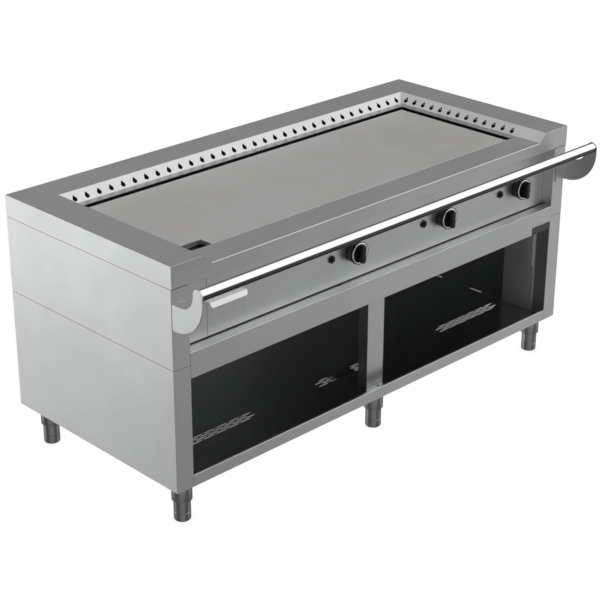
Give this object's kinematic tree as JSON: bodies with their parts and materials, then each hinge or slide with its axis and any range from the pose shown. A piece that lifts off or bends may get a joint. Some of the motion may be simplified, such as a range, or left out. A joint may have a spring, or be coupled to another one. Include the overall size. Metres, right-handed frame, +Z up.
{
  "type": "flat top griddle",
  "caption": "Floor-standing gas flat-top griddle with a sunken plate, vented splash walls, grease drawer, front handrail and open base cabinet on adjustable legs.",
  "frame": {"origin": "middle of the footprint, handrail included, at floor level", "axes": "+Z up, +Y towards the back panel, +X to the right as the cook sees it from the controls"},
  "size_m": [1.8, 0.92, 0.85],
  "materials": {
    "casing_steel": "fine brushed",
    "polished_steel": "mirror polished",
    "plate_steel": "ground, slightly warm",
    "inner_steel": "mill finish",
    "leg_steel": "satin",
    "burner_iron": "raw",
    "tap_brass": "turned",
    "control_black": "satin",
    "badge_grey": "blank dark grey plate"
  },
  "bodies": {
    "cabinet": {"worktop": "casing_steel", "cooking_plate": "plate_steel", "gutter_trough": "inner_steel", "drain_chute": "inner_steel", "drawer_runner_left": "inner_steel", "drawer_runner_right": "inner_steel", "control_panel": "casing_steel", "panel_filler": "casing_steel", "fascia_beam": "casing_steel", "badge_plate": "badge_grey", "housing_side_left": "casing_steel", "housing_side_right": "casing_steel", "housing_back": "casing_steel", "housing_floor": "inner_steel", "base_side_left": "casing_steel", "base_side_right": "casing_steel", "base_back": "casing_steel", "base_lining_left": "inner_steel", "base_lining_right": "inner_steel", "base_floor": "inner_steel", "base_front_rail": "casing_steel", "centre_post": "casing_steel", "middle_beam": "inner_steel", "handrail": "polished_steel", "rail_bracket_left": "casing_steel", "rail_bracket_right": "casing_steel", "leg_sleeve_front_left": "leg_steel", "leg_sleeve_front_middle": "leg_steel", "leg_sleeve_front_right": "leg_steel", "leg_sleeve_rear_left": "leg_steel", "leg_sleeve_rear_middle": "leg_steel", "leg_sleeve_rear_right": "leg_steel", "gas_tap_1": "tap_brass", "gas_tap_2": "tap_brass", "gas_tap_3": "tap_brass", "burner_1": "burner_iron", "burner_2": "burner_iron", "burner_3": "burner_iron", "gas_manifold": "inner_steel"},
    "drawer": {"drawer_front": "casing_steel", "grease_tray": "inner_steel", "drawer_handle": "polished_steel"},
    "tap_plunger_1": {"tap_plunger_1": "tap_brass"},
    "tap_plunger_2": {"tap_plunger_2": "tap_brass"},
    "tap_plunger_3": {"tap_plunger_3": "tap_brass"},
    "knob_1": {"knob_1": "control_black", "tap_stem_1": "inner_steel"},
    "knob_2": {"knob_2": "control_black", "tap_stem_2": "inner_steel"},
    "knob_3": {"knob_3": "control_black", "tap_stem_3": "inner_steel"},
    "igniter_1": {"igniter_button_1": "control_black"},
    "igniter_2": {"igniter_button_2": "control_black"},
    "igniter_3": {"igniter_button_3": "control_black"},
    "foot_front_left": {"leg_foot_front_left": "leg_steel"},
    "foot_front_middle": {"leg_foot_front_middle": "leg_steel"},
    "foot_front_right": {"leg_foot_front_right": "leg_steel"},
    "foot_rear_left": {"leg_foot_rear_left": "leg_steel"},
    "foot_rear_middle": {"leg_foot_rear_middle": "leg_steel"},
    "foot_rear_right": {"leg_foot_rear_right": "leg_steel"}
  },
  "joints": [
    {"name": "drawer_slide", "type": "slide", "parent": "cabinet", "child": "drawer", "axis": [0, -1, 0], "range_m": [0, 0.38]},
    {"name": "knob_push_1", "type": "slide", "parent": "cabinet", "child": "tap_plunger_1", "axis": [0, 1, 0], "range_m": [0, 0.003], "stiffness_N_per_m": 900, "springref_m": -0.003},
    {"name": "knob_push_2", "type": "slide", "parent": "cabinet", "child": "tap_plunger_2", "axis": [0, 1, 0], "range_m": [0, 0.003], "stiffness_N_per_m": 900, "springref_m": -0.003},
    {"name": "knob_push_3", "type": "slide", "parent": "cabinet", "child": "tap_plunger_3", "axis": [0, 1, 0], "range_m": [0, 0.003], "stiffness_N_per_m": 900, "springref_m": -0.003},
    {"name": "knob_turn_1", "type": "hinge", "parent": "tap_plunger_1", "child": "knob_1", "pos_m": [-0.125, -0.294, 0.662], "axis": [0, -1, 0], "range_deg": [0, 180]},
    {"name": "knob_turn_2", "type": "hinge", "parent": "tap_plunger_2", "child": "knob_2", "pos_m": [0.302, -0.294, 0.662], "axis": [0, -1, 0], "range_deg": [0, 180]},
    {"name": "knob_turn_3", "type": "hinge", "parent": "tap_plunger_3", "child": "knob_3", "pos_m": [0.695, -0.294, 0.662], "axis": [0, -1, 0], "range_deg": [0, 180]},
    {"name": "igniter_push_1", "type": "slide", "parent": "cabinet", "child": "igniter_1", "axis": [0, 1, 0], "range_m": [0, 0.006], "stiffness_N_per_m": 500, "springref_m": -0.003},
    {"name": "igniter_push_2", "type": "slide", "parent": "cabinet", "child": "igniter_2", "axis": [0, 1, 0], "range_m": [0, 0.006], "stiffness_N_per_m": 500, "springref_m": -0.003},
    {"name": "igniter_push_3", "type": "slide", "parent": "cabinet", "child": "igniter_3", "axis": [0, 1, 0], "range_m": [0, 0.006], "stiffness_N_per_m": 500, "springref_m": -0.003},
    {"name": "foot_height_front_left", "type": "slide", "parent": "cabinet", "child": "foot_front_left", "axis": [0, 0, -1], "range_m": [0, 0.035]},
    {"name": "foot_height_front_middle", "type": "slide", "parent": "cabinet", "child": "foot_front_middle", "axis": [0, 0, -1], "range_m": [0, 0.035]},
    {"name": "foot_height_front_right", "type": "slide", "parent": "cabinet", "child": "foot_front_right", "axis": [0, 0, -1], "range_m": [0, 0.035]},
    {"name": "foot_height_rear_left", "type": "slide", "parent": "cabinet", "child": "foot_rear_left", "axis": [0, 0, -1], "range_m": [0, 0.035]},
    {"name": "foot_height_rear_middle", "type": "slide", "parent": "cabinet", "child": "foot_rear_middle", "axis": [0, 0, -1], "range_m": [0, 0.035]},
    {"name": "foot_height_rear_right", "type": "slide", "parent": "cabinet", "child": "foot_rear_right", "axis": [0, 0, -1], "range_m": [0, 0.035]}
  ]
}
